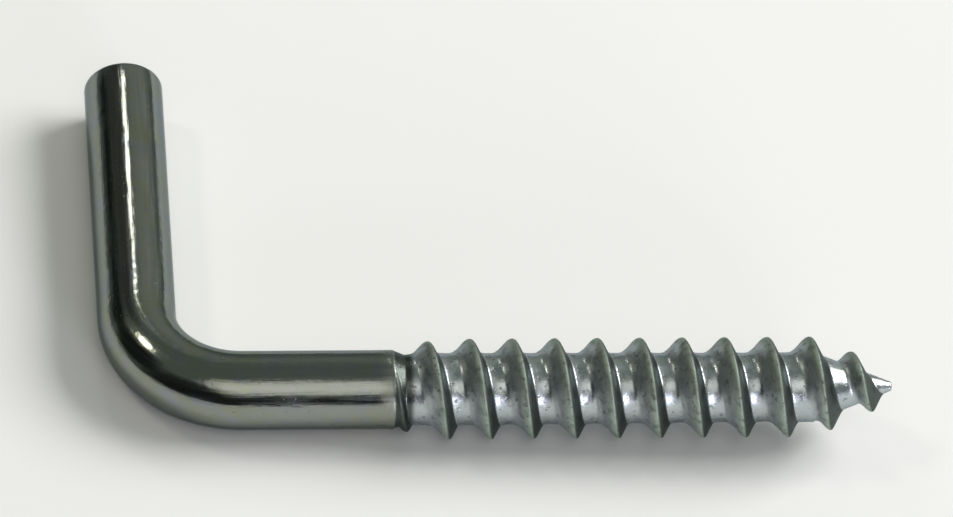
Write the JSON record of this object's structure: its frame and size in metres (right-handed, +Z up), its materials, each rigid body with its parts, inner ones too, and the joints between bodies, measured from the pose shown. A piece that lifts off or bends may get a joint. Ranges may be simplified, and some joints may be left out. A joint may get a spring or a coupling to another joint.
{
  "type": "screw hook",
  "caption": "Square-bend screw hook of plated steel wire: a straight arm at a right angle to a plain shank, with a wood-screw thread and a pointed tip that drives into a wall or board.",
  "frame": {"origin": "on the screw axis, where the plain shank ends and the thread starts, which is where the wall's face comes when the hook is driven home", "axes": "+X along the screw axis towards the point, +Y along the hook's arm towards its cut end, +Z up out of the hook's plane as it lies flat"},
  "size_m": [0.04, 0.024, 0.005],
  "materials": {
    "plated_steel": "bright zinc plating over drawn wire, glossy on the plain wire and duller on the rolled thread"
  },
  "bodies": {
    "root": {"screw_hook": "plated_steel"}
  },
  "joints": []
}
